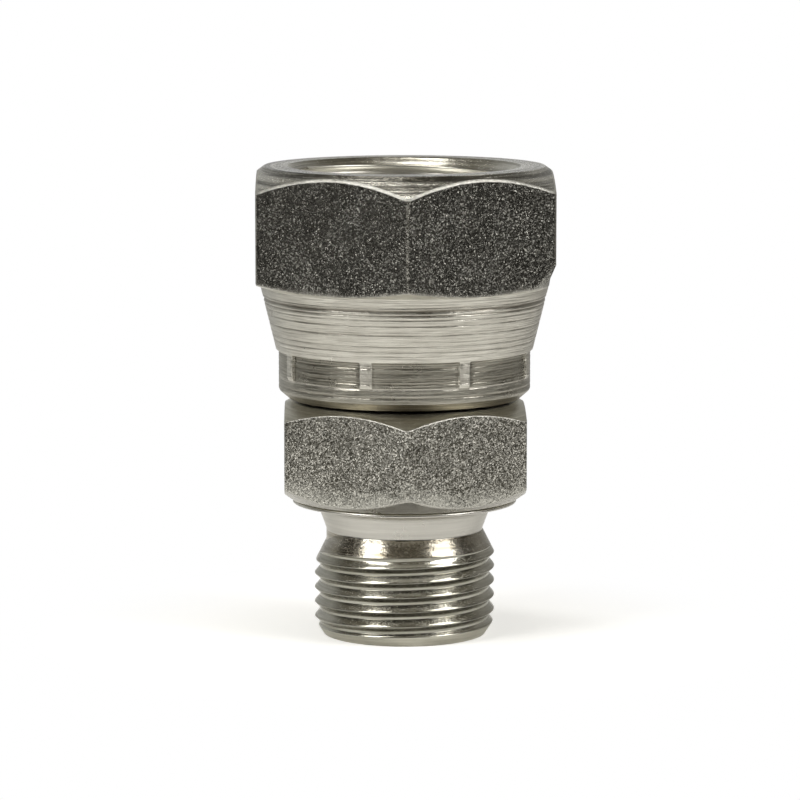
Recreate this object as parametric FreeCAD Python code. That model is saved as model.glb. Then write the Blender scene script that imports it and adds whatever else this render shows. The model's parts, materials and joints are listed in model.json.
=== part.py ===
"""Straight hydraulic adaptor: a G3/8 male stem with a crimped G1/2 swivel nut on its nose.

The origin is the centre of the male end face. +Z runs up the flow axis to the mouth of the nut,
and one corner of each hexagon points along -Y. All sizes are in millimetres and degrees.
"""

import FreeCAD
import Part
import math
import os

# Threads: G3/8 outside on the stem, G1/2 inside the nut
male_thread_diameter = 16.662
swivel_thread_bore = 18.631

# Male end of the stem, from the end face up to the shoulder
end_chamfer_depth = 0.93
end_chamfer_angle = 35.0
male_thread_length = 7.5
runout_angle = 27.0
undercut_depth = 1.13
undercut_land = 0.1
neck_taper_height = 1.48
neck_taper_angle = 20.0
shoulder_fillet = 1.5

# Flow passage and the cone seat at the male end
bore_diameter = 9.0
end_land_width = 1.2
seal_cone_angle = 60.0
bore_edge_break = 0.25

# Spanner hexagon of the stem and the washer face under it
body_across_flats = 22.0
body_hex_length = 9.05
body_top_ring_diameter = 20.7
body_top_chamfer_angle = 30.0
body_bottom_chamfer_angle = 35.0
washer_face_diameter = 20.6
washer_face_height = 0.42
washer_face_step = 0.2
hex_corner_radius = 0.7

# Neck and collar that hold the nut
neck_diameter = 18.9
neck_fillet = 0.3
collar_step = 0.85
collar_rim_height = 1.75
collar_edge_break = 0.3
crimp_cone_angle = 45.0

# Sealing nose above the collar
nose_land_height = 1.1
nose_base_diameter = 16.0
nose_tip_diameter = 12.5

# Hexagon of the swivel nut
nut_across_flats = 27.0
nut_hex_length = 10.88
nut_top_ring_diameter = 25.7
nut_top_chamfer_angle = 35.0
nut_bottom_ring_diameter = 26.46
nut_bottom_chamfer_angle = 18.0

# Skirt of the nut, pressed in by a ring of jaws that leave ribs between them
skirt_wall = 1.7
skirt_roll_in = 0.9
skirt_roll_height = 0.85
plain_band_height = 1.05
rib_height = 0.25
rib_rise_height = 0.5
rib_length = 2.6
rib_angle = 5.5
jaw_count = 8
jaw_first_angle = 4.0
imprint_bevel_height = 0.4
imprint_corner_radius = 0.2

# Inside of the nut
crimp_bore_length = 4.7
swivel_thread_length = 8.75
mouth_chamfer_width = 1.38
mouth_depth = 1.1

# Clearances between the stem and the nut
nut_foot_gap = 0.25
nut_neck_clearance = 0.4
nut_collar_clearance = 0.3
nut_end_play = 0.25
nose_head_room = 0.07


def rise(radial, angle):
    """Height gained over a radial step by a cone with this half angle from the axis."""
    return radial / math.tan(math.radians(angle))


def chamfer_drop(radial, angle):
    """Height lost over a radial step by a chamfer with this angle from a flat end face."""
    return radial * math.tan(math.radians(angle))


# Radii of the stem and the nut
male_radius = male_thread_diameter / 2
male_end_radius = male_radius - end_chamfer_depth
undercut_radius = male_radius - undercut_depth
taper_top_radius = undercut_radius + neck_taper_height * math.tan(math.radians(neck_taper_angle))
washer_face_radius = washer_face_diameter / 2
bore_radius = bore_diameter / 2
seat_mouth_radius = male_end_radius - end_land_width
neck_radius = neck_diameter / 2
collar_radius = neck_radius + collar_step
nose_base_radius = nose_base_diameter / 2
nose_tip_radius = nose_tip_diameter / 2
nut_bore_radius = neck_radius + nut_neck_clearance
housing_radius = collar_radius + nut_collar_clearance
pressed_radius = nut_bore_radius + skirt_wall
rib_radius = pressed_radius + rib_height
swivel_thread_radius = swivel_thread_bore / 2
seal_half_angle = seal_cone_angle / 2

# Heights of the stem, each worked up from the one below it
end_chamfer_z = rise(end_chamfer_depth, end_chamfer_angle)
undercut_z = male_thread_length + rise(undercut_depth, runout_angle)
taper_z = undercut_z + undercut_land
taper_top_z = taper_z + neck_taper_height
shoulder_z = taper_top_z + shoulder_fillet * (1 - math.sin(math.radians(neck_taper_angle)))
body_bottom_z = shoulder_z + washer_face_height
body_top_z = body_bottom_z + body_hex_length

# Heights of the skirt, and of the collar that it holds with a little end play
nut_foot_z = body_top_z + nut_foot_gap
band_z = nut_foot_z + skirt_roll_height
rib_z = band_z + plain_band_height
rib_top_z = rib_z + rib_length
crimp_cone_z = nut_foot_z + crimp_bore_length
housing_z = crimp_cone_z + rise(housing_radius - nut_bore_radius, crimp_cone_angle)
collar_back_z = crimp_cone_z + nut_end_play - rise(nut_neck_clearance, crimp_cone_angle)
collar_rim_z = collar_back_z + rise(collar_step, crimp_cone_angle)
collar_top_z = collar_rim_z + collar_rim_height
nose_cone_z = collar_top_z + nose_land_height
nose_tip_z = nose_cone_z + rise(nose_base_radius - nose_tip_radius, seal_half_angle)

# Heights of the nut's thread and hexagon
swivel_thread_z = nose_tip_z + nose_head_room
mouth_z = swivel_thread_z + swivel_thread_length
nut_top_z = mouth_z + mouth_depth
nut_hex_z = nut_top_z - nut_hex_length


def at(radius, z):
    return FreeCAD.Vector(radius, 0, z)


def about_axis(shape, angle):
    shape.rotate(FreeCAD.Vector(0, 0, 0), FreeCAD.Vector(0, 0, 1), angle)
    return shape


def revolved(edges, sweep=360.0):
    """Solid turned about the Z axis from the edges of a closed half section."""
    face = Part.Face(Part.Wire(edges))
    return face.revolve(FreeCAD.Vector(0, 0, 0), FreeCAD.Vector(0, 0, 1), sweep)


def outline(points):
    """Straight edges through (radius, z) points, from the first to the last."""
    places = [at(*point) for point in points]
    return [Part.makeLine(start, end) for start, end in zip(places, places[1:])]


def turned(points, sweep=360.0):
    return revolved(outline(points + points[:1]), sweep)


def hex_bar(across_flats, bottom_z, length):
    """Hexagon bar with rounded corners, one of them along -Y."""
    corner = across_flats / math.sqrt(3)
    angles = [math.radians(60 * step - 90) for step in range(6)]
    places = [FreeCAD.Vector(corner * math.cos(a), corner * math.sin(a), bottom_z) for a in angles]
    bar = Part.Face(Part.makePolygon(places + places[:1])).extrude(FreeCAD.Vector(0, 0, length))
    upright = [edge for edge in bar.Edges if edge.BoundBox.ZLength > length / 2]
    return bar.makeFillet(hex_corner_radius, upright)


def chamfered_hex(across_flats, bottom_z, length, bottom, top):
    """Hexagon bar with turned ends; bottom and top are each (ring radius, chamfer angle)."""
    reach = across_flats / math.sqrt(3) + 1
    top_z = bottom_z + length
    envelope = turned([
        (0, bottom_z),
        (bottom[0], bottom_z),
        (reach, bottom_z + chamfer_drop(reach - bottom[0], bottom[1])),
        (reach, top_z - chamfer_drop(reach - top[0], top[1])),
        (top[0], top_z),
        (0, top_z),
    ])
    return hex_bar(across_flats, bottom_z, length).common(envelope)


def male_end():
    """Threaded stud, undercut, tapered neck and washer face, up to the hexagon."""
    taper = math.radians(neck_taper_angle)
    bisector = (math.pi / 2 + taper) / 2
    centre_radius = taper_top_radius + shoulder_fillet * math.cos(taper)
    centre_z = shoulder_z - shoulder_fillet
    fillet_start = at(taper_top_radius, taper_top_z)
    fillet_end = at(centre_radius, shoulder_z)
    fillet_middle = at(
        centre_radius - shoulder_fillet * math.cos(bisector),
        centre_z + shoulder_fillet * math.sin(bisector),
    )
    below_fillet = outline([
        (0, 0),
        (male_end_radius, 0),
        (male_radius, end_chamfer_z),
        (male_radius, male_thread_length),
        (undercut_radius, undercut_z),
        (undercut_radius, taper_z),
        (taper_top_radius, taper_top_z),
    ])
    above_fillet = outline([
        (centre_radius, shoulder_z),
        (washer_face_radius, shoulder_z),
        (washer_face_radius, body_bottom_z),
        (0, body_bottom_z),
        (0, 0),
    ])
    fillet = Part.Arc(fillet_start, fillet_middle, fillet_end).toShape()
    return revolved(below_fillet + [fillet] + above_fillet)


def neck_and_nose():
    """Neck, conical-backed collar and sealing nose, up from the top of the hexagon."""
    return turned([
        (0, body_top_z),
        (neck_radius + neck_fillet, body_top_z),
        (neck_radius, body_top_z + neck_fillet),
        (neck_radius, collar_back_z),
        (collar_radius, collar_rim_z),
        (collar_radius, collar_top_z - collar_edge_break),
        (collar_radius - collar_edge_break, collar_top_z),
        (nose_base_radius, collar_top_z),
        (nose_base_radius, nose_cone_z),
        (nose_tip_radius, nose_tip_z),
        (0, nose_tip_z),
    ])


def flow_passage():
    """Through bore with the cone seat of the male end and a broken edge at the nose."""
    return turned([
        (0, 0),
        (seat_mouth_radius, 0),
        (bore_radius, rise(seat_mouth_radius - bore_radius, seal_half_angle)),
        (bore_radius, nose_tip_z - bore_edge_break),
        (bore_radius + bore_edge_break, nose_tip_z),
        (0, nose_tip_z),
    ])


def threaded_stem():
    hexagon = chamfered_hex(
        body_across_flats, body_bottom_z, body_hex_length,
        (washer_face_radius + washer_face_step, body_bottom_chamfer_angle),
        (body_top_ring_diameter / 2, body_top_chamfer_angle),
    )
    blank = hexagon.fuse([male_end(), neck_and_nose()]).removeSplitter()
    return blank.cut(flow_passage())


def jaw_imprint():
    """Metal that one jaw pushes in, centred on the +X axis, with rounded flanks at its floor."""
    outside_radius = rib_radius + 1
    bevel_slope = imprint_bevel_height / rib_height
    jaw_angle = 360 / jaw_count - rib_angle
    block = turned([
        (pressed_radius, rib_z),
        (outside_radius, rib_z),
        (outside_radius, rib_top_z + bevel_slope * (outside_radius - rib_radius)),
        (pressed_radius, rib_top_z - imprint_bevel_height),
    ], jaw_angle)
    flanks = [
        edge for edge in block.Edges
        if edge.BoundBox.ZLength > rib_length / 2
        and abs(math.hypot(edge.CenterOfMass.x, edge.CenterOfMass.y) - pressed_radius) < rib_height / 10
    ]
    return about_axis(block.makeFillet(imprint_corner_radius, flanks), -jaw_angle / 2)


def skirt():
    """Turned skirt of the nut, from its rolled foot up to the underside of the hexagon."""
    return turned([
        (0, nut_foot_z),
        (pressed_radius - skirt_roll_in, nut_foot_z),
        (pressed_radius, band_z),
        (pressed_radius, rib_z),
        (rib_radius, rib_z + rib_rise_height),
        (rib_radius, rib_top_z),
        (nut_bottom_ring_diameter / 2, nut_hex_z),
        (0, nut_hex_z),
    ])


def nut_cavity():
    """Pressed bore, collar housing, thread bore and mouth of the nut."""
    return turned([
        (0, nut_foot_z),
        (nut_bore_radius, nut_foot_z),
        (nut_bore_radius, crimp_cone_z),
        (housing_radius, housing_z),
        (housing_radius, swivel_thread_z),
        (swivel_thread_radius, swivel_thread_z),
        (swivel_thread_radius, mouth_z),
        (swivel_thread_radius + mouth_chamfer_width, nut_top_z),
        (0, nut_top_z),
    ])


def swivel_nut():
    hexagon = chamfered_hex(
        nut_across_flats, nut_hex_z, nut_hex_length,
        (nut_bottom_ring_diameter / 2, nut_bottom_chamfer_angle),
        (nut_top_ring_diameter / 2, nut_top_chamfer_angle),
    )
    nut = hexagon.fuse(skirt()).removeSplitter().cut(nut_cavity())
    imprint = jaw_imprint()
    pressed = [
        about_axis(imprint.copy(), jaw_first_angle + jaw * 360 / jaw_count)
        for jaw in range(jaw_count)
    ]
    return nut.cut(pressed)


def main():
    os.makedirs("parts", exist_ok=True)
    pieces = {"threaded_stem": threaded_stem(), "swivel_nut": swivel_nut()}
    for name, shape in pieces.items():
        box = shape.BoundBox
        print(name, "solids", len(shape.Solids), "valid", shape.isValid(),
              "volume", round(shape.Volume, 1), "z", round(box.ZMin, 2), round(box.ZMax, 2))
        shape.exportStep("parts/" + name + ".step")


main()
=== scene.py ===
import json
import math
from dataclasses import dataclass

import bpy
import numpy as np
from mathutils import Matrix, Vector


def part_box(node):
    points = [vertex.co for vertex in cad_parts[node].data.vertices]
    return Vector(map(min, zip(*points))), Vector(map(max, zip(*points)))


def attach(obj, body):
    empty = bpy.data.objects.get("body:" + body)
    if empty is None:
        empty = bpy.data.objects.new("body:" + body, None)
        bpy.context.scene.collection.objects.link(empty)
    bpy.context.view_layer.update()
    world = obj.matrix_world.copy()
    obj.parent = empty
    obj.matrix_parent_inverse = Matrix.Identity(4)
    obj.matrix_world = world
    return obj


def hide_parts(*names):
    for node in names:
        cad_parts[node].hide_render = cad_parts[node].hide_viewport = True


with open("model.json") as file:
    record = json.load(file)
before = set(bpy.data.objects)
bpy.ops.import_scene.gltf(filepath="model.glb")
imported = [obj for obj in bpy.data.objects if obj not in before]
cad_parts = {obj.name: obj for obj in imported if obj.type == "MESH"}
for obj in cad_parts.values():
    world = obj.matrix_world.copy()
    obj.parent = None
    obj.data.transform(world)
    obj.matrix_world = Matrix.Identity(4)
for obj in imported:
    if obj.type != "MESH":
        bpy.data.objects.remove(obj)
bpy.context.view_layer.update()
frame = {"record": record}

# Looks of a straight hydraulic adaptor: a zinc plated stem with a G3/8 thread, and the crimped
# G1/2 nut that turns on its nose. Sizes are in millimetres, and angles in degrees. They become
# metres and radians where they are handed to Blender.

MM = 0.001

# Sizes read from the frame
stem_low, stem_high = [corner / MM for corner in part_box("threaded_stem")]
nut_low, nut_high = [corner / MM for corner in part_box("swivel_nut")]
mounts = {mount["name"]: mount for mount in frame["record"]["mounts"]}
stem_across_flats = stem_high.x - stem_low.x
nut_across_flats = nut_high.x - nut_low.x
nut_foot_z = nut_low.z
nut_top_z = nut_high.z
nose_tip_z = stem_high.z
shoulder_z = mounts["shoulder_face"]["pos_m"][2] / MM
male_radius = mounts["male_thread"]["dims"]["r_mm"]
swivel_thread_radius = mounts["female_thread"]["dims"]["r_mm"]
swivel_thread_length = mounts["female_thread"]["dims"]["length_mm"]

# Whitworth thread form: rounding as shares of the pitch, and where the rings of a pitch lie
# from a crest to the next root. A crest is cut down, rounded to the radius of its crown, and
# falls at its slope to both sides of a top that may lean off the middle. Points of a thread
# that lie nearer than points_meet become one.
thread_half_angle = 27.5
thread_round = 0.1373
thread_depth_share = 0.6403
swivel_ring_shares = (0.0, 0.06, 0.105, 0.125, 0.16, 0.25, 0.36, 0.43, 0.47, 0.5)
male_ring_shares = (0.0, 0.04, 0.08, 0.105, 0.13, 0.17, 0.25, 0.34, 0.36, 0.372, 0.385, 0.41, 0.45,
                    0.48, 0.5)
male_pitch = 1.337
male_crest_z = 7.74
male_thread_depth = 0.54
male_root_round = 0.05
male_crest_cut = 0.03
male_crest_crown = 0.09
male_crest_lean = -0.14
male_crest_slope = 0.92
swivel_pitch = 1.814
swivel_crest_z = 40.44
swivel_crest_cut = 0.13
swivel_crest_crown = 20.0
points_meet = 0.002

# Male end of the stem
male_end_radius = male_radius - 0.86
end_chamfer_z = 1.33
runout_z = 7.5
runout_angle = 180.0
runout_half_angle = 42.0
runout_drop = 1.0
fade_start_z = 7.3
fade_end_z = 9.6
undercut_radius = male_radius - 1.13
undercut_z = 9.72
undercut_land = 0.1
taper_top_radius = undercut_radius + 0.54
neck_taper_angle = 20.0
shoulder_fillet = 1.5
fillet_steps = 8
washer_face_radius = 10.3
washer_groove_height = 0.16
washer_groove_depth = 0.25

# Hexagon and upper end of the stem
stem_hex_z = shoulder_z + 0.42
stem_hex_top_z = nut_foot_z - 0.25
stem_ring_radius = 10.5
stem_top_ring_radius = 10.35
stem_bottom_chamfer = 35.0
stem_top_chamfer = 30.0
neck_radius = 9.45
neck_fillet = 0.3
polish_top_z = nut_foot_z + 1
collar_back_z = 26.555
collar_rim_z = 27.405
collar_top_z = 29.155
collar_radius = 10.3
collar_edge = 0.3
nose_base_radius = 8.0
nose_cone_z = 30.255
nose_tip_radius = 6.25
bore_radius = 4.5
bore_edge = 0.25
seat_mouth_radius = 6.2
seat_depth = 2.945

# Nut
nut_hex_z = nut_top_z - 10.88
nut_ring_radius = 13.23
nut_bottom_chamfer = 18.0
nut_top_ring_radius = 12.85
nut_top_chamfer = 35.0
mouth_radius = swivel_thread_radius + 1.38
mouth_z = nut_top_z - 1.1
swivel_thread_z = mouth_z - swivel_thread_length
housing_radius = 10.6
housing_z = 27.455
crimp_cone_z = 26.705
nut_bore_radius = 9.85
pressed_radius = 11.55
rib_radius = 11.8
skirt_foot_radius = 10.65
roll_radius = pressed_radius - 0.09
roll_z = nut_foot_z + 0.70
band_z = 22.86
rib_z = 23.905
rib_rise_z = 24.4
rib_top_z = 26.505
jaw_count = 8
jaw_first_angle = 4.0
rib_angle = 5.5
jaw_flank_angle = 1.1
jaw_bevel = 0.25

# Rounding of turned edges, and the corners, rings and rolled lips of a hexagon
edge_round = 0.07
corner_radius = 0.7
low_chamfer_shares = (0, 0.12, 0.35, 0.65, 0.88)
high_chamfer_shares = (0.94, 0.8, 0.6, 0.4, 0.2, 0.06)
lip_inset = 0.02
lower_edge_waver = 0.11
lower_edge_waves = (5, 9, 14, 23, 37, 53, 71, 83)
upper_edge_waver = 0.035
upper_edge_waves = (6, 11, 17, 29, 41, 59, 73, 85)

# Struck lower edge of one flat of the nut, and the rubbed chip beside its corner
struck_angle = -2.0
struck_half_width = 29.0
struck_fall = 6.0
struck_height = 1.6
struck_depth = 0.95
struck_wear_loss = 0.7
chip_angle = -34.5
chip_half_width = 2.0

# Turning marks and grooves come and go round the axis, and painted shade darkens them from their floor
line_depth = 0.02
line_waver = 1.3
line_waves = (1, 2, 5, 11, 23)
groove_waver = 0.8
groove_waves = (1, 2, 4, 7, 13, 29)
fully_shaded_depth = 0.12
most_groove_shade = 0.65

# Grooves of the skirt as (foot, deepest, top, depth)
skirt_grooves = [
    (30.96, 31.24, 31.38, 0.14), (31.44, 31.50, 31.56, 0.08), (30.70, 30.79, 30.88, 0.09),
    (30.30, 30.38, 30.44, 0.05), (29.76, 29.84, 29.92, 0.05), (28.90, 29.01, 29.08, 0.05),
    (27.90, 27.97, 28.04, 0.035), (27.40, 27.47, 27.54, 0.035), (32.0, 32.05, 32.12, 0.03),
]
band_grooves = [
    (26.25, 26.33, 26.42, 0.035), (25.85, 25.95, 26.05, 0.04), (25.30, 25.41, 25.48, 0.03),
    (24.70, 24.80, 24.90, 0.03), (24.40, 24.52, 24.60, 0.045), (23.90, 24.0, 24.10, 0.04),
    (23.12, 23.25, 23.38, 0.04), (22.75, 22.83, 22.90, 0.03),
]

# Columns round the axis, and how near to an edge the rows lie that keep it crisp
columns_around = 180
support = 0.05


@dataclass
class Ring:
    """One ring of points round the axis, with the finish of the faces above it.

    Radius, height, wear and the painted shade of grooves are numbers, or arrays with a value for each column.
    """
    radius: object
    height: object
    finish: str
    thread_turn: float = 0.0
    threaded: bool = False
    press: float = 0.0
    wear: object = 0.0
    # painted shade in a groove, darker the deeper it is
    soil: object = 0.0


def column_turns(special_angles, nearest=0.35):
    """Columns round the axis as shares of a turn: even ones, with closer ones where asked."""
    special = sorted(angle % 360 for angle in special_angles)
    even = [360 * step / columns_around for step in range(columns_around)]

    def apart(a, b):
        return min((a - b) % 360, (b - a) % 360)

    kept = [a for a in even if all(apart(a, s) > nearest for s in special)]
    return np.array(sorted(kept + special)) / 360


def corner_reach(across_flats):
    """Half the angle that a hexagon's rounded corner takes, seen from the axis, in degrees."""
    apothem = across_flats / 2
    flat_half = apothem * math.tan(math.radians(30)) - corner_radius * math.tan(math.radians(30))
    return 30 - math.degrees(math.atan(flat_half / apothem))


def corner_columns(across_flats):
    """Columns across each rounded corner of a hexagon."""
    reach = corner_reach(across_flats)
    shares = (-1.0, -0.7, -0.35, 0.0, 0.35, 0.7, 1.0)
    return [60 * corner - 90 + share * reach for corner in range(6) for share in shares]


def jaw_columns():
    """Columns across both flanks of each rib that the jaws leave standing."""
    ribs = [jaw_first_angle + (jaw + 0.5) * 360 / jaw_count for jaw in range(jaw_count)]
    flanks = [rib + side * rib_angle / 2 for rib in ribs for side in (-1, 1)]
    return [flank + share * jaw_flank_angle for flank in flanks for share in (-0.5, -0.17, 0.17, 0.5)]


def from_corner(turns):
    """Signed degrees from the nearest corner of a hexagon, at each column."""
    return (turns * 360 + 90 + 30) % 60 - 30


def from_angle(turns, angle):
    """Signed degrees round the axis from this angle, at each column."""
    return (turns * 360 - angle + 180) % 360 - 180


def hexagon_radius(turns, across_flats):
    """Distance from the axis to the side of a hexagon with rounded corners, at each column."""
    apothem = across_flats / 2
    centre = (apothem - corner_radius) / math.cos(math.radians(30))
    aside = from_corner(turns)
    flat = apothem / np.cos(np.radians(30 - np.abs(aside)))
    inside = np.maximum(corner_radius ** 2 - (centre * np.sin(np.radians(aside))) ** 2, 0)
    rounded = centre * np.cos(np.radians(aside)) + np.sqrt(inside)
    return np.where(np.abs(aside) < corner_reach(across_flats), rounded, flat)


def waver(turns, amplitude, waves, seed):
    """Small uneven ripple round the axis, the same at every run."""
    draw = np.random.default_rng(seed)
    total = np.zeros_like(turns)
    for wave in waves:
        size = draw.uniform(0.4, 1.0)
        start = draw.uniform(0, 2 * math.pi)
        total += size * np.sin(2 * math.pi * wave * turns + start)
    return amplitude * total / len(waves)


def eased(points, radius):
    """Profile through (radius, height) points with each inner corner rounded by a small arc."""
    points = [np.array(point, float) for point in points]
    path = points[:1]
    for before, corner, after in zip(points, points[1:], points[2:]):
        back = (before - corner) / np.linalg.norm(before - corner)
        on = (after - corner) / np.linalg.norm(after - corner)
        half_turn = (math.pi - math.acos(max(-1.0, min(1.0, float(back @ on))))) / 2
        setback = radius * math.tan(half_turn)
        start, end = corner + back * setback, corner + on * setback
        for share in (0, 0.33, 0.67, 1):
            path.append((1 - share) ** 2 * start + 2 * share * (1 - share) * corner + share ** 2 * end)
    return path + points[-1:]


def groove_depth(height, groove):
    """Depth of a V groove (foot, deepest, top, depth) at this height."""
    foot, deepest, top, depth = groove
    return max(0.0, min((height - foot) / (deepest - foot), (top - height) / (top - deepest))) * depth


def mark_depth(turns, height, lines, grooves, draw, seed):
    """Depth of the turning lines and the grooves at a height, at each column."""
    depth = 0.0
    if lines:
        size = lines * draw.random() ** 3
        depth = size * (1 + waver(turns, line_waver, line_waves, draw.integers(1000)))
    for number, groove in enumerate(grooves):
        cut = groove_depth(height, groove)
        if cut:
            depth = depth + cut * (1 + waver(turns, groove_waver, groove_waves, seed * 100 + number))
    return np.maximum(depth, 0)


def turned(points, finish, spacing=0.6, round_edge=edge_round, lines=0.0, grooves=(), turns=None,
           seed=1, press=None):
    """Rings along a profile, up to its last point, which the next stretch starts with.

    lines is the depth of the fine marks that turning leaves, and each groove a deeper one.
    press gives how deep the jaws reach at a height.
    """
    draw = np.random.default_rng(seed)
    path = eased(points, round_edge)
    rings = []
    for start, end in zip(path, path[1:]):
        length = np.linalg.norm(end - start)
        if length < 1e-6:
            continue
        along = (end - start) / length
        steps = max(1, round(length / spacing))
        places = [length * step / steps for step in range(steps)]
        if length > 4 * support and steps < 6:
            places = sorted(set(places + [support, length - support]))
        for place in places:
            radius, height = start + along * place
            depth = mark_depth(turns, height, lines if place > 0 else 0.0, grooves, draw, seed)
            # Rings in a groove get painted shade, darker the deeper the groove
            rings.append(Ring(radius - depth, height, finish, press=press(height) if press else 0.0,
                              soil=np.minimum(depth / fully_shaded_depth, most_groove_shade)))
    return rings


def threaded(low, high, pitch, crest_z, upward, ring_shares, finish):
    """Rings at the crest, flanks and root of each turn, for the thread's tree to place.

    The second result is how many rings make up one pitch.
    """
    shares = list(ring_shares) + [1 - share for share in reversed(ring_shares[1:-1])]
    widest = max(np.diff(ring_shares))
    first, last = (low - crest_z) / pitch - 1 - widest, (high - crest_z) / pitch + widest
    found = [whole + share for whole in range(math.floor(first), math.ceil(last) + 1) for share in shares]
    found = [turn for turn in found if first <= turn <= last]
    if not upward:
        found.reverse()
    middle = (low + high) / 2
    return [Ring(male_radius, middle, finish, turn, threaded=True) for turn in found], len(shares)


def hexagon(turns, across_flats, bottom, top, finish, bottom_lip, top_lip, fade, corner_wear, seed,
            struck_at=None):
    """Rings of a chamfered hexagon with worn corners and rolled lips along its flats.

    bottom and top are (ring radius, height, chamfer angle), and a lip is (width, wear). The
    wear of the lower lip fades out over a share of the flat. finish names the three finishes
    of the lower chamfer, the flats and the upper chamfer. struck_at is the angle of a flat
    whose lower edge has been struck, with the chip beside it.
    """
    low_chamfer, faces, high_chamfer = finish
    (bottom_radius, bottom_z, bottom_angle), (top_radius, top_z, top_angle) = bottom, top
    (low_width, low_wear), (high_width, high_wear) = bottom_lip, top_lip
    bottom_slope = math.tan(math.radians(bottom_angle))
    top_slope = math.tan(math.radians(top_angle))
    side = hexagon_radius(turns, across_flats)
    at_corner = np.maximum(0, 1 - np.abs(from_corner(turns)) / corner_reach(across_flats))
    struck = chip = np.zeros_like(turns)
    if struck_at is not None:
        past_struck = np.abs(from_angle(turns, struck_at)) - struck_half_width
        struck = np.clip(1 - past_struck / struck_fall, 0, 1)
        chip = np.exp(-(from_angle(turns, chip_angle) / chip_half_width) ** 2)
    low_waver = waver(turns, lower_edge_waver, lower_edge_waves, seed)
    high_waver = waver(turns, upper_edge_waver, upper_edge_waves, seed + 1)
    bottom_edge = bottom_z + (side - bottom_radius) * bottom_slope + low_waver
    top_edge = top_z - (side - top_radius) * top_slope + high_waver
    low_inner = np.maximum(side - low_width - struck_depth * struck, bottom_radius + 0.5 * lip_inset)
    low_radius = np.maximum(side - lip_inset - struck_depth * struck, bottom_radius + 1.5 * lip_inset)
    high_inner = side - high_width
    low = bottom_edge + low_width + struck_height * struck + support
    high = top_edge - high_width - support
    rings = [Ring(bottom_radius + out, bottom_z + out * bottom_slope, low_chamfer)
             for out in (share * (low_inner - bottom_radius) for share in low_chamfer_shares)]
    rings += [
        Ring(low_inner, bottom_z + (low_inner - bottom_radius) * bottom_slope, "edge", wear=low_wear),
        Ring(low_radius, bottom_edge - (side - low_radius) * bottom_slope + lip_inset, faces,
             wear=np.maximum(low_wear, chip)),
        Ring(side, bottom_edge + low_width + struck_height * struck, faces,
             wear=low_wear * (1 - struck_wear_loss * struck)),
    ]
    rings += [
        Ring(side, low + share * (high - low), faces,
             wear=np.maximum(corner_wear * at_corner, low_wear * (1 - share / fade)))
        for share in (0, 0.5 * fade, fade, 0.5 + 0.5 * fade, 1)
    ]
    rings += [
        Ring(side, top_edge - high_width, "edge", wear=high_wear),
        Ring(side - lip_inset, top_edge - lip_inset * top_slope, "edge", wear=high_wear),
        Ring(high_inner, top_z - (high_inner - top_radius) * top_slope, high_chamfer, wear=high_wear),
    ]
    rings += [Ring(top_radius + out, top_z - out * top_slope, high_chamfer)
              for out in (share * (high_inner - top_radius) for share in high_chamfer_shares)]
    return rings


def helix_partners(rings, rows_per_pitch):
    """The ring that each ring meets at the last column, which for a helix lies one pitch on."""
    helix = [i for i, ring in enumerate(rings) if ring.threaded]
    rising = rings[helix[1]].thread_turn > rings[helix[0]].thread_turn
    partner = list(range(len(rings)))
    for i in helix[1:] if rising else helix:
        shifted = i + rows_per_pitch if rising else i - rows_per_pitch
        partner[i] = min(max(shifted, helix[0]), helix[-1])
    return partner


def skin_mesh(name, turns, rings, rows_per_pitch):
    """Closed mesh over all rings, with the marks that trees and finishes read at each point."""
    count = len(turns)

    def of_rings(quantity):
        """Values of a quantity of the rings, a row for each ring."""
        return np.array([np.broadcast_to(getattr(ring, quantity), count) for ring in rings], float)

    angles = 2 * math.pi * turns
    radius, height = of_rings("radius") * MM, of_rings("height") * MM
    places = np.stack([radius * np.cos(angles), radius * np.sin(angles), height], axis=2)
    partner = helix_partners(rings, rows_per_pitch)
    finishes_used = sorted({ring.finish for ring in rings})
    faces, dressed = [], []
    for i, ring in enumerate(rings):
        j = (i + 1) % len(rings)
        for column in range(count - 1):
            a, b = i * count + column, j * count + column
            faces.append((a, a + 1, b + 1, b))
        faces.append((i * count + count - 1, partner[i] * count, partner[j] * count, j * count + count - 1))
        dressed += [finishes_used.index(ring.finish)] * count
    mesh = bpy.data.meshes.new(name)
    mesh.from_pydata(places.reshape(-1, 3).tolist(), [], faces)
    mesh.polygons.foreach_set("material_index", dressed)
    mesh.polygons.foreach_set("use_smooth", [True] * len(faces))
    run, rise = (np.diff(size, axis=0, append=size[:1]) for size in (radius, height))
    marks = {mark: of_rings(mark) for mark in ("thread_turn", "threaded", "wear", "soil")}
    marks["press"] = of_rings("press") * MM
    marks["flatness"] = np.abs(run) / np.maximum(np.hypot(run, rise), 1e-9)
    marks["column_turn"] = np.tile(turns, (len(rings), 1))
    for mark, values in marks.items():
        attribute = mesh.attributes.new(mark, "FLOAT", "POINT")
        attribute.data.foreach_set("value", values.ravel().astype(np.float32))
    return mesh, finishes_used


# Node trees

class Output:
    """Output of a node. Arithmetic with it adds Math nodes to the same tree."""

    def __init__(self, socket):
        self.socket = socket
        self.tree = socket.id_data

    def __add__(self, other):
        return maths("ADD", self, other)

    def __sub__(self, other):
        return maths("SUBTRACT", self, other)

    def __rsub__(self, other):
        return maths("SUBTRACT", other, self)

    def __mul__(self, other):
        return maths("MULTIPLY", self, other)

    def __truediv__(self, other):
        return maths("DIVIDE", self, other)

    def __rtruediv__(self, other):
        return maths("DIVIDE", other, self)

    def __pow__(self, other):
        return maths("POWER", self, other)

    def __gt__(self, other):
        return maths("GREATER_THAN", self, other)


def feed(socket, value):
    """Links an output to a socket, or sets the socket's value."""
    if isinstance(value, Output):
        value.tree.links.new(value.socket, socket)
    else:
        socket.default_value = value


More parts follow.
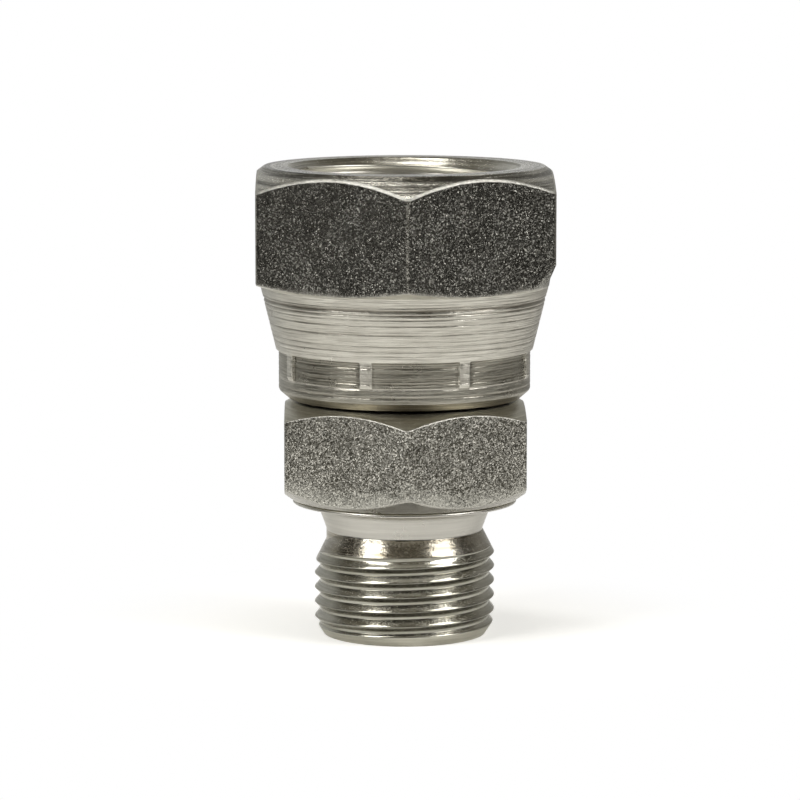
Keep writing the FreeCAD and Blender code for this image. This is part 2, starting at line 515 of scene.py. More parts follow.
def put(tree, kind, settings=None, **values):
    """New node with settings, and with its sockets linked or set by name or number."""
    node = tree.nodes.new(kind)
    for key, value in (settings or {}).items():
        setattr(node, key, value)
    for key, value in values.items():
        number = key.rsplit("_", 1)[-1]
        feed(node.inputs[int(number) if number.isdigit() else key.replace("_", " ")], value)
    return node


def output(tree, kind, settings=None, out=0, **values):
    """One output of a new node, by number or name."""
    return Output(put(tree, kind, settings, **values).outputs[out])


def maths(operation, *values):
    """Output of a Math node, in the tree that its values come from."""
    tree = next(value.tree for value in values if isinstance(value, Output))
    node = put(tree, "ShaderNodeMath", {"operation": operation})
    for socket, value in zip(node.inputs, values):
        feed(socket, value)
    return Output(node.outputs[0])


def ramped(value, start, end, low=0.0, high=1.0, smooth=True):
    """Low before the start, high past the end, and a smooth or straight ramp between them."""
    kind = "SMOOTHSTEP" if smooth else "LINEAR"
    return output(value.tree, "ShaderNodeMapRange", {"interpolation_type": kind}, Value=value,
                  in_1=start, in_2=end, in_3=low, in_4=high)


def round_axis(radius, angle, height):
    """Place at this radius, angle and height."""
    return output(angle.tree, "ShaderNodeCombineXYZ", X=radius * maths("COSINE", angle),
                  Y=radius * maths("SINE", angle), Z=height)


def new_tree(name, kind, inputs, outputs):
    """Node group with named inputs, each a number or a socket type, and named outputs."""
    tree = bpy.data.node_groups.new(name, kind)
    for label, value in inputs.items():
        numeric = isinstance(value, float)
        socket_type = "NodeSocketFloat" if numeric else value
        socket = tree.interface.new_socket(name=label, in_out="INPUT", socket_type=socket_type)
        if numeric:
            socket.default_value = value
    for label, socket_type in outputs.items():
        tree.interface.new_socket(name=label, in_out="OUTPUT", socket_type=socket_type)
    given = {socket.name: Output(socket) for socket in tree.nodes.new("NodeGroupInput").outputs}
    return tree, given, tree.nodes.new("NodeGroupOutput").inputs


def read_mark(tree, name):
    """Value of a mark of the mesh, in a tree that shapes it."""
    return output(tree, "GeometryNodeInputNamedAttribute", Name=name)


def dressed_faces(geometry, faces, finish):
    """The geometry with this finish on the chosen faces."""
    return output(geometry.tree, "GeometryNodeSetMaterial", Geometry=geometry, Selection=faces,
                  Material=finish)


def whitworth_drop(phase, root_round):
    """How far the thread lies below its crest at this phase, from 0 at the crest to 1 at the root."""
    half_angle = math.radians(thread_half_angle)
    cosine, sine = math.cos(half_angle), math.sin(half_angle)
    whole = 0.5 / math.tan(half_angle)
    depth = maths("MULTIPLY_ADD", root_round, 1 - 1 / sine, whole - thread_round * (1 / sine - 1))

    def arc(distance, radius):
        """Rise of an arc of this radius at this distance from its top."""
        within = maths("MINIMUM", distance, radius * cosine)
        return radius - maths("SQRT", radius ** 2 - within ** 2)

    from_crest = maths("PINGPONG", phase, 0.5)
    past_arc = from_crest - thread_round * cosine
    flank = maths("MULTIPLY_ADD", past_arc, 1 / math.tan(half_angle), thread_round * (1 - sine))
    root = depth - arc(0.5 - from_crest, root_round)
    return maths("MINIMUM", maths("MAXIMUM", flank, arc(from_crest, thread_round)), root) / depth


def cut_radius(given, column, height):
    """Radius of the thread itself, before its ends are chamfered."""
    phase = (height - given["Crest Height"]) / given["Pitch"] - column
    depth = given["Root Radius"] - given["Crest Radius"]
    over_crest = maths("WRAP", phase, 0.5, -0.5) * given["Pitch"]
    fall = (over_crest - given["Crest Lean"]) * given["Crest Slope"]
    bend = given["Crest Crown"] * given["Crest Slope"] ** 2
    crown = maths("SQRT", fall ** 2 + bend ** 2) - bend
    crest = (crown + given["Crest Cut"]) / maths("ABSOLUTE", depth)
    form = maths("MAXIMUM", whitworth_drop(phase, given["Root Round"]), crest)
    fading = ramped(height, given["Fade Start"], given["Fade End"], 1.0, 0.0)
    return maths("MULTIPLY_ADD", maths("MINIMUM", form, 1.0) * fading, depth, given["Crest Radius"])


def chamfer_radii(given, angle, height):
    """Radii of the cones that end the thread, the upper one sunk where the thread runs out."""
    low = ramped(height, given["Lowest"], given["Low Chamfer Top"], given["Low Radius"],
                 given["Crest Radius"], smooth=False)
    aside = maths("ABSOLUTE", maths("WRAP", angle - given["Run Out Angle"], math.pi, -math.pi))
    sunk = ramped(aside, 0.0, given["Run Out Half Angle"], given["Run Out Drop"], 0.0)
    high = ramped(height + sunk, given["High Chamfer Foot"], given["Highest"],
                  given["Crest Radius"], given["High Radius"], smooth=False)
    return low, high


def thread_tree():
    """Cuts a helical thread into the rings that carry a thread_turn."""
    tree, given, result = new_tree("cut_helical_thread", "GeometryNodeTree", {
        "Blank": "NodeSocketGeometry",
        "Pitch": 0.001, "Crest Height": 0.0, "Crest Radius": 0.01, "Root Radius": 0.01,
        "Root Round": thread_round,
        "Crest Cut": 0.0001, "Crest Crown": 0.001, "Crest Lean": 0.0, "Crest Slope": 1.0,
        "Lowest": 0.0, "Low Radius": 0.01, "Low Chamfer Top": 0.0,
        "Highest": 0.01, "High Radius": 0.01, "High Chamfer Foot": 0.01,
        "Fade Start": 0.01, "Fade End": 0.011,
        "Run Out Angle": math.pi, "Run Out Half Angle": 1.0, "Run Out Drop": 0.0,
        "Outward": 1.0, "Edge Softness": 0.00004,
        "Thread Finish": "NodeSocketMaterial",
        "Low Chamfer Finish": "NodeSocketMaterial", "High Chamfer Finish": "NodeSocketMaterial",
    }, {"Threaded": "NodeSocketGeometry"})
    column = read_mark(tree, "column_turn")
    turn = read_mark(tree, "thread_turn") + column
    free = maths("MULTIPLY_ADD", turn, given["Pitch"], given["Crest Height"])
    height = maths("MINIMUM", maths("MAXIMUM", free, given["Lowest"]), given["Highest"])
    angle = column * (2 * math.pi)
    radii = cut_radius(given, column, height), *chamfer_radii(given, angle, height)
    cut, low_cone, high_cone = [radius * given["Outward"] for radius in radii]
    least = maths("SMOOTH_MIN", cut, maths("MINIMUM", low_cone, high_cone), given["Edge Softness"])
    threaded_here = read_mark(tree, "threaded")
    kept = output(tree, "GeometryNodeSetPosition", Geometry=given["Blank"], Selection=threaded_here,
                  Position=round_axis(least * given["Outward"], angle, height))
    for mark, cone in (("on_low_chamfer", low_cone), ("on_high_chamfer", high_cone)):
        store = put(tree, "GeometryNodeStoreNamedAttribute", Geometry=kept, Name=mark)
        value = next(socket for socket in store.inputs if socket.name == "Value" and socket.enabled)
        feed(value, cut - cone > points_meet * MM)
        kept = Output(store.outputs[0])
    merged = output(tree, "GeometryNodeMergeByDistance", Geometry=kept, Distance=points_meet * MM)
    done = output(tree, "GeometryNodeRealizeInstances", Geometry=merged)
    all_thread = threaded_here > 0.99
    done = dressed_faces(done, all_thread, given["Thread Finish"])
    for end in ("Low", "High"):
        bare = all_thread * (read_mark(tree, f"on_{end.lower()}_chamfer") > 0.6)
        done = dressed_faces(done, bare, given[f"{end} Chamfer Finish"])
    feed(result[0], done)
    return tree


def jaw_tree():
    """Presses a ring of jaws into the skirt and leaves a rib between each two of them."""
    tree, given, result = new_tree("press_crimping_jaws", "GeometryNodeTree", {
        "Blank": "NodeSocketGeometry",
        "Jaw Count": 8.0,
        "First Jaw Angle": 0.0,
        "Rib Angle": 0.1,
        "Flank Angle": 0.02,
        "Least Press": 0.0001,
        "Pressed Finish": "NodeSocketMaterial",
    }, {"Pressed": "NodeSocketGeometry"})
    angle = read_mark(tree, "column_turn") * (2 * math.pi)
    half_pitch = 2 * math.pi / given["Jaw Count"] / 2
    from_jaw = maths("PINGPONG", angle - given["First Jaw Angle"], half_pitch)
    jaw_half = half_pitch - given["Rib Angle"] / 2
    flank_half = given["Flank Angle"] / 2
    pressed = 1 - ramped(from_jaw, jaw_half - flank_half, jaw_half + flank_half)
    depth = read_mark(tree, "press")
    moved = output(tree, "GeometryNodeSetPosition", Geometry=given["Blank"],
                   Offset=round_axis(pressed * depth * -1, angle, 0.0))
    whole = output(tree, "GeometryNodeRealizeInstances", Geometry=moved)
    dented = (pressed > 0.5) * (depth > given["Least Press"])
    feed(result[0], dressed_faces(whole, dented > 0.5, given["Pressed Finish"]))
    return tree


def add_tree(piece, tree, **values):
    """Modifier that runs a tree on a piece, with each named input set by its identifier."""
    modifier = piece.modifiers.new(tree.name, "NODES")
    modifier.node_group = tree
    sockets = {item.name: item.identifier for item in tree.interface.items_tree
               if item.item_type == "SOCKET" and item.in_out == "INPUT"}
    for name, value in values.items():
        modifier[sockets[name.replace("_", " ")]] = value


def plain_mesh(piece):
    """Makes the result of a piece's node trees its own mesh, and takes the modifiers off."""
    shaped = piece.evaluated_get(bpy.context.evaluated_depsgraph_get())
    mesh = bpy.data.meshes.new_from_object(shaped)
    piece.modifiers.clear()
    piece.data = mesh


# Finishes

def object_spot(tree):
    """Place on the object, in the object's own coordinates."""
    return output(tree, "ShaderNodeTexCoord", out="Object")


def painted(tree, mark):
    """Value of a mark of the mesh, in a material."""
    return output(tree, "ShaderNodeAttribute", {"attribute_name": mark}, out="Fac")


def split(place):
    """The x, y and z of a place or a direction."""
    return [Output(socket) for socket in put(place.tree, "ShaderNodeSeparateXYZ", Vector=place).outputs]


def turning_group():
    """Marks that a lathe leaves: lines round the axis, close together along the surface."""
    tree, given, result = new_tree("turning_lines", "ShaderNodeTree", {
        "Lines per Millimetre": 6.0,
        "Breaks": 0.12,
        "Contrast": 1.0,
        "Flat From": 0.55,
    }, {"Tone": "NodeSocketFloat", "Height": "NodeSocketFloat"})
    x, y, z = split(object_spot(tree))
    density, breaks = (given[name] * (1 / MM) for name in ("Lines per Millimetre", "Breaks"))
    both = []
    for along in (z, maths("SQRT", x ** 2 + y ** 2)):
        stretched = output(tree, "ShaderNodeCombineXYZ", X=x * breaks, Y=y * breaks, Z=along * density)
        both.append(output(tree, "ShaderNodeTexNoise", Vector=stretched, Scale=1.0, Detail=3.0,
                           Roughness=0.65))
    flat = painted(tree, "flatness") > given["Flat From"]
    noise = output(tree, "ShaderNodeMix", in_0=flat, in_2=both[0], in_3=both[1])
    half = 0.2 / given["Contrast"]
    tone = ramped(noise, 0.5 - half, half + 0.5, smooth=False)
    feed(result["Tone"], tone)
    feed(result["Height"], tone)
    return tree


def grain_group():
    """Grain of a blasted and plated face: small facets, each tilted and toned in its own way."""
    tree, given, result = new_tree("blasted_grain", "ShaderNodeTree", {
        "Grain": 0.17,
        "Brightness": 3.0,
    }, {"Tone": "NodeSocketFloat", "Height": "NodeSocketFloat"})
    scaled = output(tree, "ShaderNodeVectorMath", {"operation": "SCALE"}, in_0=object_spot(tree),
                    Scale=1 / MM / given["Grain"])
    facets = put(tree, "ShaderNodeTexVoronoi", Vector=scaled, Scale=1.0).outputs
    middle, colour = Output(facets["Position"]), Output(facets["Color"])
    apart = output(tree, "ShaderNodeVectorMath", {"operation": "SUBTRACT"}, in_0=scaled, in_1=middle)
    lean = output(tree, "ShaderNodeVectorMath", {"operation": "SUBTRACT"}, in_0=colour, in_1=(0.5, 0.5, 0.5))
    tilt = output(tree, "ShaderNodeVectorMath", {"operation": "DOT_PRODUCT"}, "Value", in_0=apart, in_1=lean)
    lit = output(tree, "ShaderNodeSeparateColor", Color=colour)
    feed(result["Tone"], lit ** given["Brightness"])
    feed(result["Height"], tilt)
    return tree


def cloud_group():
    """Slow change of tone over a plated surface, such as thin and thick passivate."""
    tree, given, result = new_tree("plating_clouds", "ShaderNodeTree", {
        "Size": 4.0,
    }, {"Tone": "NodeSocketFloat"})
    noise = output(tree, "ShaderNodeTexNoise", Vector=object_spot(tree), Scale=1 / MM / given["Size"],
                   Detail=4.0, Roughness=0.6)
    feed(result["Tone"], ramped(noise, 0.3, 0.7, smooth=False))
    return tree


def from_group(tree, group, **values):
    """The outputs of a node group, by name."""
    node = put(tree, "ShaderNodeGroup", {"node_tree": group}, **values)
    return {socket.name: Output(socket) for socket in node.outputs}


def mixed(share, first, second):
    """Colour between two colours; each is an output or an (r, g, b)."""
    node = put(share.tree, "ShaderNodeMix", {"data_type": "RGBA"})
    for number, value in ((0, share), (6, first), (7, second)):
        feed(node.inputs[number], (*value, 1.0) if isinstance(value, tuple) else value)
    return Output(node.outputs[2])


def metal(name):
    """Plain metal material: the material, its tree and its Principled node."""
    material = bpy.data.materials.new(name)
    material.use_nodes = True
    tree = material.node_tree
    shader = tree.nodes["Principled BSDF"]
    shader.inputs["Metallic"].default_value = 1.0
    return material, tree, shader


def bumped(shader, height, depth):
    """Bump of this depth in millimetres from a height of 0 to 1."""
    bump = output(height.tree, "ShaderNodeBump", Height=height, Distance=depth * MM)
    feed(shader.inputs["Normal"], bump)


def cloudy_roughness(shader, clouds, smoothest, spread):
    """Roughness that follows the clouds, from the smoothest up by the spread."""
    feed(shader.inputs["Roughness"], ramped(clouds, 0.0, 1.0, smoothest, smoothest + spread, smooth=False))


def worn_share(clouds, tone):
    """Where handling has rubbed an edge: more facets of the grain the more it is worn."""
    wear = painted(clouds.tree, "wear")
    reached = wear + maths("MULTIPLY_ADD", clouds, 0.5, tone)
    return ramped(reached, 0.75, 1.25, 0.0, wear, smooth=False)


def turned_finish(name, dark, light, roughness, density, depth, speckle, breaks=0.12, contrast=1.0):
    """Turned and plated metal: lines round the axis, clouds of tone, speckle and painted shade in grooves.

    density is in lines per millimetre, breaks says how often a line changes round the axis, and
    depth and speckle are the heights of the lines and the grain in millimetres.
    """
    material, tree, shader = metal(name)
    lines = from_group(tree, turning_lines, Lines_per_Millimetre=density, Breaks=breaks, Contrast=contrast)
    clouds = from_group(tree, plating_clouds, Size=4.0)["Tone"]
    share = maths("MULTIPLY_ADD", lines["Tone"], 0.7, clouds * 0.3)
    clean = mixed(share, dark, light)
    # Painted shade in grooves: the colour turns dark brown with the groove's depth
    feed(shader.inputs["Base Color"], mixed(painted(tree, "soil"), clean, groove_shade_colour))
    cloudy_roughness(shader, clouds, roughness, 0.08)
    height = lines["Height"]
    if speckle:
        grain = from_group(tree, blasted_grain, Grain=0.12, Brightness=1.0)
        height = maths("MULTIPLY_ADD", grain["Height"], speckle / depth, height)
    bumped(shader, height, depth)
    return material


def blasted_finish(name, dark, light, rubbed, roughness, grain, depth, brightness):
    """Blasted flat: dark pits, brighter facets and rubbed corners."""
    material, tree, shader = metal(name)
    texture = from_group(tree, blasted_grain, Grain=grain, Brightness=brightness)
    clouds = from_group(tree, plating_clouds, Size=3.0)["Tone"]
    tone = texture["Tone"] * maths("MULTIPLY_ADD", clouds, 0.5, 0.75)
    worn = worn_share(clouds, texture["Tone"])
    feed(shader.inputs["Base Color"], mixed(worn, mixed(tone, dark, light), rubbed))
    cloudy_roughness(shader, clouds, roughness, 0.06)
    bumped(shader, texture["Height"], depth)
    return material


# Colour of the painted shade in grooves
groove_shade_colour = (0.115, 0.095, 0.066)
turning_lines = turning_group()
blasted_grain = grain_group()
plating_clouds = cloud_group()

# Each turned finish as (name, dark, light, roughness, density, depth, speckle, breaks, contrast)
turned_finishes = {
    "turned": ("turned_zinc", (0.42, 0.40, 0.355), (0.90, 0.88, 0.81), 0.26, 9.0, 0.012, 0.014, 0.25, 1.1),
    "rolled": ("rolled_skirt_zinc", (0.215, 0.205, 0.173), (0.60, 0.58, 0.516), 0.26, 6.0, 0.014, 0.016, 0.3),
    "faced": ("faced_zinc", (0.07, 0.065, 0.052), (0.70, 0.685, 0.63), 0.20, 2.6, 0.05, 0.025, 0.05, 2.2),
    # The mouth's colours are lowered as painted shade inside the mouth
    "mouth": ("mouth_zinc", (0.10, 0.09, 0.06), (0.86, 0.845, 0.775), 0.20, 3.0, 0.014, 0.006, 0.05, 1.3),
    "neck": ("polished_neck_zinc", (0.56, 0.545, 0.51), (0.72, 0.705, 0.66), 0.26, 3.0, 0.0015, 0.004),
    "lead_in": ("smooth_chamfer_zinc", (0.20, 0.172, 0.12), (0.48, 0.46, 0.41), 0.14, 2.0, 0.002, 0.01),
    "thread": ("thread_zinc", (0.27, 0.26, 0.21), (0.59, 0.58, 0.525), 0.10, 4.0, 0.003, 0.006),
    "inner_thread": ("inner_thread_zinc", (0.70, 0.68, 0.62), (0.93, 0.92, 0.87), 0.32, 4.0, 0.003, 0.01),
    "pressed": ("pressed_skirt_zinc", (0.145, 0.137, 0.112), (0.54, 0.52, 0.456), 0.25, 7, 0.018, 0.01, 0.3),
    "shaded": ("shaded_zinc", (0.40, 0.385, 0.32), (0.72, 0.70, 0.62), 0.28, 4.0, 0.008, 0.01),
    # Painted shade: the foot under the skirt, facing the stem's hexagon, is coloured dark olive brown
    "foot": ("dark_foot_zinc", (0.10, 0.085, 0.058), (0.40, 0.37, 0.29), 0.30, 5.0, 0.014, 0.01),
    "bore": ("bore_zinc", (0.30, 0.29, 0.25), (0.48, 0.46, 0.41), 0.35, 4.0, 0.003, 0.0),
    "edge": ("rubbed_edge_zinc", (0.25, 0.245, 0.22), (0.75, 0.74, 0.70), 0.42, 9.0, 0.004, 0.03, 3.0),
}
finishes = {finish: turned_finish(*looks) for finish, looks in turned_finishes.items()}
finishes["nut_flat"] = blasted_finish(
    "blasted_nut_zinc", dark=(0.058, 0.056, 0.050), light=(0.76, 0.75, 0.70), rubbed=(0.36, 0.35, 0.32),
    roughness=0.24, grain=0.10, depth=0.038, brightness=4.8)
finishes["stem_flat"] = blasted_finish(
    "blasted_stem_zinc", dark=(0.10, 0.095, 0.078), light=(0.88, 0.86, 0.80), rubbed=(0.62, 0.61, 0.56),
    roughness=0.27, grain=0.105, depth=0.044, brightness=2.3)


def placed(name, data):
    """New object with this data, in the scene."""
    thing = bpy.data.objects.new(name, data)
    bpy.context.scene.collection.objects.link(thing)
    return thing


def dress(name, turns, rings, rows_per_pitch, body, node, trees):
    """Makes a piece from rings, with its threads and jaw marks, and lets it ride on its body."""
    mesh, used = skin_mesh(name, turns, rings, rows_per_pitch)
    for finish in used:
        mesh.materials.append(finishes[finish])
    piece = placed(name, mesh)
    for tree, values in trees:
        add_tree(piece, tree, **values)
    plain_mesh(piece)
    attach(piece, body)
    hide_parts(node)


cut_helical_thread = thread_tree()
press_crimping_jaws = jaw_tree()


def shoulder_arc():
    """Points of the fillet that leads from the tapered neck out to the shoulder."""
    taper = math.radians(neck_taper_angle)
    centre_radius = taper_top_radius + shoulder_fillet * math.cos(taper)
    centre_z = shoulder_z - shoulder_fillet
    angles = [taper + (math.pi / 2 - taper) * step / fillet_steps for step in range(fillet_steps + 1)]
    return [(centre_radius - shoulder_fillet * math.cos(angle), centre_z + shoulder_fillet * math.sin(angle))
            for angle in angles]


def metres(**lengths):
    """The same lengths in metres."""
    return {name: length * MM for name, length in lengths.items()}


def male_thread():
    """Inputs of the tree that cuts the male thread."""
    lengths = metres(
        Pitch=male_pitch, Crest_Height=male_crest_z, Crest_Radius=male_radius,
        Root_Radius=male_radius - male_thread_depth, Crest_Cut=male_crest_cut,
        Crest_Crown=male_crest_crown, Crest_Lean=male_crest_lean, Run_Out_Drop=runout_drop,
        Highest=undercut_z, Low_Radius=male_end_radius, Low_Chamfer_Top=end_chamfer_z,
        High_Radius=undercut_radius, High_Chamfer_Foot=runout_z, Fade_Start=fade_start_z,
        Fade_End=fade_end_z,
    )
    return {
        **lengths, "Root_Round": male_root_round, "Crest_Slope": male_crest_slope,
        "Run_Out_Angle": math.radians(runout_angle), "Run_Out_Half_Angle": math.radians(runout_half_angle),
        "Thread_Finish": finishes["thread"],
        "Low_Chamfer_Finish": finishes["shaded"], "High_Chamfer_Finish": finishes["lead_in"],
    }


def stem_piece():
    """Stem: male end, thread, neck, hexagon, and the collar and nose inside the nut."""
    turns = column_turns(corner_columns(stem_across_flats))
    thread_rings, per_pitch = threaded(0.0, undercut_z, male_pitch, male_crest_z, True,
                                       male_ring_shares, "thread")
    fillet = shoulder_arc()
    groove_z = stem_hex_z - washer_groove_height
    groove_radius = washer_face_radius - washer_groove_depth
    rings = turned([(seat_mouth_radius, 0), (male_end_radius, 0)], "turned", spacing=0.3)
    rings += thread_rings
    rings += turned([(undercut_radius, undercut_z), (undercut_radius, undercut_z + undercut_land), fillet[0]],
                    "neck", spacing=0.3, round_edge=0.04)
    rings += turned(fillet, "neck", spacing=0.3, round_edge=0.0)
    rings += turned([fillet[-1], (washer_face_radius, shoulder_z), (washer_face_radius, groove_z)],
                    "neck", spacing=0.4, round_edge=0.06)
    rings += turned([
        (washer_face_radius, groove_z),
        (groove_radius, stem_hex_z - 0.25 * washer_groove_height),
        (groove_radius, stem_hex_z),
        (stem_ring_radius, stem_hex_z),
    ], "shaded", spacing=0.1, round_edge=0.02)
    # The lighter rubbed colour of the lower lip fades out over 0.38 of each flat, so the stem's flats are
    # lighter towards the bottom
    rings += hexagon(turns, stem_across_flats, (stem_ring_radius, stem_hex_z, stem_bottom_chamfer),
                     (stem_top_ring_radius, stem_hex_top_z, stem_top_chamfer),
                     ("neck", "stem_flat", "shaded"), bottom_lip=(0.05, 0.95), top_lip=(0.06, 0.5),
                     fade=0.38, corner_wear=0.0, seed=11)
    rings += turned([
        (stem_top_ring_radius, stem_hex_top_z),
        (neck_radius + neck_fillet, stem_hex_top_z),
        (neck_radius, stem_hex_top_z + neck_fillet),
        (neck_radius, polish_top_z),
    ], "neck")
    rings += turned([
        (neck_radius, polish_top_z),
        (neck_radius, collar_back_z),
        (collar_radius, collar_rim_z),
        (collar_radius, collar_top_z - collar_edge),
        (collar_radius - collar_edge, collar_top_z),
        (nose_base_radius, collar_top_z),
        (nose_base_radius, nose_cone_z),
        (nose_tip_radius, nose_tip_z),
        (bore_radius + bore_edge, nose_tip_z),
    ], "turned")
    rings += turned([
        (bore_radius + bore_edge, nose_tip_z),
        (bore_radius, nose_tip_z - bore_edge),
        (bore_radius, seat_depth),
        (seat_mouth_radius, 0),
    ], "bore", spacing=3.0)
    dress("plated_stem", turns, rings, per_pitch, "stem", "threaded_stem",
          [(cut_helical_thread, male_thread())])


def jaw_depth(height):
    """How deep a jaw presses at this height of the skirt."""
    rise = (height - rib_z) / (rib_rise_z - rib_z)
    fall = (rib_top_z - height) / jaw_bevel
    return (rib_radius - pressed_radius) * max(0.0, min(1.0, rise, fall))


def swivel_thread():
    """Inputs of the tree that cuts the nut's thread and the chamfer of its mouth."""
    lengths = metres(
        Pitch=swivel_pitch, Crest_Height=swivel_crest_z, Crest_Radius=swivel_thread_radius,
        Root_Radius=swivel_thread_radius + thread_depth_share * swivel_pitch, Crest_Cut=swivel_crest_cut,
        Crest_Crown=swivel_crest_crown, Lowest=swivel_thread_z, Highest=nut_top_z,
        Low_Radius=swivel_thread_radius, High_Radius=mouth_radius, High_Chamfer_Foot=mouth_z,
        Fade_Start=nut_top_z, Fade_End=nut_top_z + 1,
    )
    return {
        **lengths, "Low_Chamfer_Top": swivel_thread_z * MM + 1e-6, "Outward": -1.0,
        "Thread_Finish": finishes["inner_thread"],
        "Low_Chamfer_Finish": finishes["inner_thread"], "High_Chamfer_Finish": finishes["mouth"],
    }


def crimping_jaws():
    """Inputs of the tree that presses the jaws in."""
    return {
        "Jaw_Count": float(jaw_count), "First_Jaw_Angle": math.radians(jaw_first_angle),
        "Rib_Angle": math.radians(rib_angle), "Flank_Angle": math.radians(jaw_flank_angle),
        "Pressed_Finish": finishes["pressed"],
    }


def nut_piece():
    """Nut: crimped skirt, hexagon, threaded mouth and the housing of the stem's collar."""
    turns = column_turns(corner_columns(nut_across_flats) + jaw_columns())
    thread_rings, per_pitch = threaded(swivel_thread_z, nut_top_z, swivel_pitch, swivel_crest_z, False,
                                       swivel_ring_shares, "inner_thread")
    rings = turned([(nut_bore_radius, nut_foot_z), (skirt_foot_radius, nut_foot_z)], "neck", spacing=0.4)
    # The foot of the skirt carries the painted shade of the foot finish
    rings += turned([(skirt_foot_radius, nut_foot_z), (roll_radius, roll_z)], "foot", spacing=0.1)
    rings += turned([(roll_radius, roll_z), (pressed_radius, band_z), (pressed_radius, rib_z)], "rolled",
                    spacing=0.08, round_edge=0.05, lines=line_depth, grooves=band_grooves, turns=turns,
                    seed=3)
    rings += turned([(pressed_radius, rib_z), (rib_radius, rib_rise_z), (rib_radius, rib_top_z)], "turned",
                    spacing=0.07, round_edge=0.05, lines=line_depth, grooves=band_grooves, turns=turns,
                    seed=4, press=jaw_depth)
    rings += turned([(rib_radius, rib_top_z), (nut_ring_radius, nut_hex_z)], "turned",
                    spacing=0.055, lines=line_depth, grooves=skirt_grooves, turns=turns, seed=5)
    rings += hexagon(turns, nut_across_flats, (nut_ring_radius, nut_hex_z, nut_bottom_chamfer),
                     (nut_top_ring_radius, nut_top_z, nut_top_chamfer),
                     ("turned", "nut_flat", "faced"), bottom_lip=(0.14, 0.75), top_lip=(0.17, 1.0),
                     fade=0.05, corner_wear=1.15, seed=21, struck_at=struck_angle)
    rings += turned([(nut_top_ring_radius, nut_top_z), (mouth_radius, nut_top_z)], "faced", spacing=0.3)
    rings += thread_rings
    rings += turned([
        (swivel_thread_radius, swivel_thread_z),
        (housing_radius, swivel_thread_z),
        (housing_radius, housing_z),
        (nut_bore_radius, crimp_cone_z),
        (nut_bore_radius, nut_foot_z),
    ], "bore", spacing=2.0)
    dress("plated_nut", turns, rings, per_pitch, "nut", "swivel_nut",
          [(press_crimping_jaws, crimping_jaws()), (cut_helical_thread, swivel_thread())])


# Studio

floor_radius = 120.0
floor_forward = 35.0
floor_columns = 96
floor_lift = 0.36
floor_fade_start = 12.0
floor_fade_end = 35.0
white = (1.0, 1.0, 1.0, 1.0)
lamp_distance = 450.0
lamp_colour = (1.0, 0.99, 0.96)
# Each soft box as (azimuth, elevation, width, height, power)
soft_boxes = {
    "left_soft_box": (-51, 39, 195, 330, 1.27),
    "right_soft_box": (60.5, 37, 215, 330, 1.18),
    "top_soft_box": (-126, 83, 60, 240, 0.41),
}
# Colours of the room that the metal shows
left_wall = (0.46, 0.46, 0.44)
right_wall = (0.30, 0.29, 0.265)
back_ceiling = (0.17, 0.16, 0.13)
dim_front = (0.040, 0.036, 0.028)
front_ceiling = (0.17, 0.155, 0.12)
backdrop_share = 0.985
camera_distance = 367.3
camera_height = 71.2
camera_pitch = 7.69
camera_azimuth = 1.0
axis_offset_pixels = 4.5
focal_pixels = 4030.0
frame_pixels = 800
sensor_width = 36.0


def ray_is(tree, kind):
    """1 for a ray of this kind, and 0 for the others."""
    return output(tree, "ShaderNodeLightPath", out=f"Is {kind} Ray")


def floor_finish():
    """Pale matt floor that runs out to plain white at its rim for the camera alone."""
    material = bpy.data.materials.new("pale_floor")
    material.use_nodes = True
    tree = material.node_tree
    tree.nodes.clear()
    reach = output(tree, "ShaderNodeVectorMath", {"operation": "LENGTH"}, "Value", in_0=object_spot(tree))
    camera_ray = ray_is(tree, "Camera")
    matt = output(tree, "ShaderNodeBsdfDiffuse", Color=(0.86, 0.86, 0.85, 1.0))
    lift = output(tree, "ShaderNodeEmission", Color=white, Strength=camera_ray * floor_lift)
    lit = output(tree, "ShaderNodeAddShader", in_0=matt, in_1=lift)
    rim = output(tree, "ShaderNodeEmission", Color=white)
    seen = ramped(reach, floor_fade_start * MM, floor_fade_end * MM) * camera_ray
    both = output(tree, "ShaderNodeMixShader", in_0=seen, in_1=lit, in_2=rim)
    put(tree, "ShaderNodeOutputMaterial", Surface=both)
    return material


def floor_piece():
    """Round floor under the object, further forward than back."""
    angles = [2 * math.pi * k / floor_columns for k in range(floor_columns)]
    rim = [(floor_radius * MM * math.cos(angle), (floor_radius * math.sin(angle) - floor_forward) * MM, 0.0)
           for angle in angles]
    mesh = bpy.data.meshes.new("studio_floor")
    mesh.from_pydata([(0, 0, 0)] + rim, [],
                     [(0, k + 1, (k + 1) % floor_columns + 1) for k in range(floor_columns)])
    mesh.materials.append(floor_finish())
    placed("studio_floor", mesh)


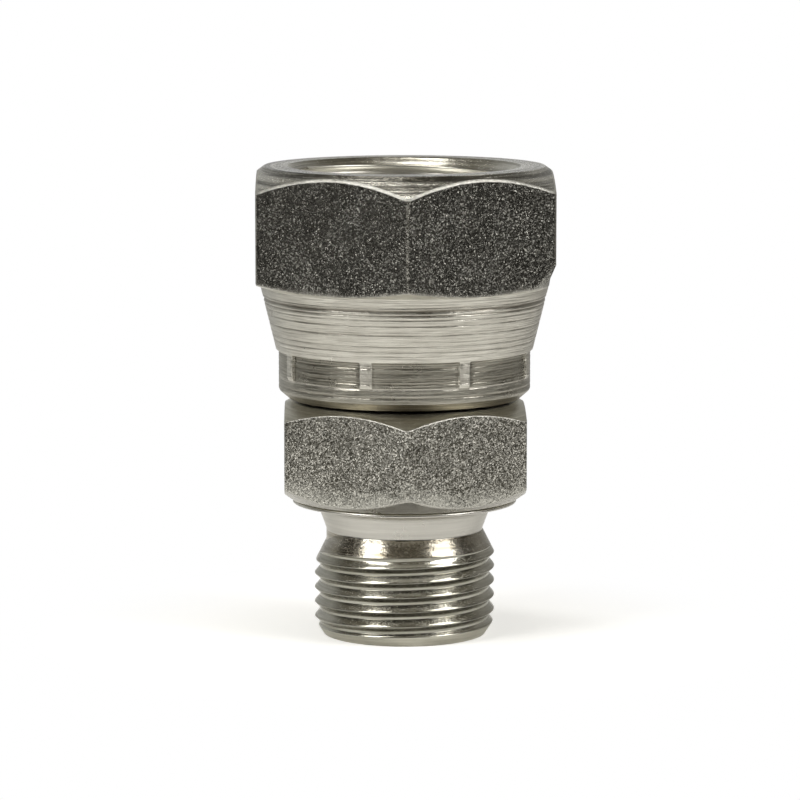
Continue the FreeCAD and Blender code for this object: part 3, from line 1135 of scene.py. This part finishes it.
def soft_box(name, azimuth, elevation, width, height, power):
    """Area lamp that faces the middle of the object, azimuth 0 being the camera's side."""
    lamp = bpy.data.lights.new(name, "AREA")
    lamp.shape = "RECTANGLE"
    lamp.size, lamp.size_y = width * MM, height * MM
    lamp.energy = power
    lamp.color = lamp_colour
    turn, climb = math.radians(azimuth), math.radians(elevation)
    away = Vector((math.sin(turn) * math.cos(climb), -math.cos(turn) * math.cos(climb), math.sin(climb)))
    aim = Vector((0, 0, 0.5 * nut_top_z * MM))
    box = placed(name, lamp)
    box.location = aim + away * lamp_distance * MM
    box.rotation_mode = "QUATERNION"
    box.rotation_quaternion = away.to_track_quat("Z", "Y")
    box.visible_camera = False


def studio_world():
    """White backdrop, which the metal shows too, in a room with a pale back and a dim front."""
    world = bpy.data.worlds.new("studio")
    bpy.context.scene.world = world
    world.use_nodes = True
    tree = world.node_tree
    tree.nodes.clear()
    x, y, z = split(output(tree, "ShaderNodeTexCoord", out="Generated"))
    front = ramped(y, 0.60, 0.05)
    up = ramped(z, 0.45, 0.75)
    right = ramped(x, -0.2, 0.8)
    dim = mixed(up, dim_front, front_ceiling)
    pale = mixed(up, mixed(right, left_wall, right_wall), back_ceiling)
    room = output(tree, "ShaderNodeBackground", Color=mixed(front, pale, dim))
    backdrop = output(tree, "ShaderNodeBackground", Color=white)
    mirrored = maths("MAXIMUM", ray_is(tree, "Glossy"), ray_is(tree, "Transmission"))
    seen = maths("MAXIMUM", ray_is(tree, "Camera"), mirrored * ramped(y, backdrop_share, 1.0))
    both = output(tree, "ShaderNodeMixShader", in_0=seen, in_1=room, in_2=backdrop)
    put(tree, "ShaderNodeOutputWorld", Surface=both)


def studio_camera():
    """Camera where the photograph was taken from, found from the object's own edges."""
    data = bpy.data.cameras.new("studio_camera")
    data.sensor_width = sensor_width
    data.lens = focal_pixels / frame_pixels * sensor_width
    data.clip_start, data.clip_end = 0.01, 10.0
    camera = placed("studio_camera", data)
    side = math.radians(camera_azimuth)
    place = Vector((-math.sin(side) * camera_distance, -math.cos(side) * camera_distance, camera_height))
    camera.location = place * MM
    swing = math.atan(axis_offset_pixels / focal_pixels)
    camera.rotation_euler = (math.radians(90 - camera_pitch), 0, swing - side)
    bpy.context.scene.camera = camera


stem_piece()
nut_piece()
floor_piece()
for name, place in soft_boxes.items():
    soft_box(name, *place)
studio_world()
studio_camera()
bpy.context.scene.view_settings.view_transform = "Standard"
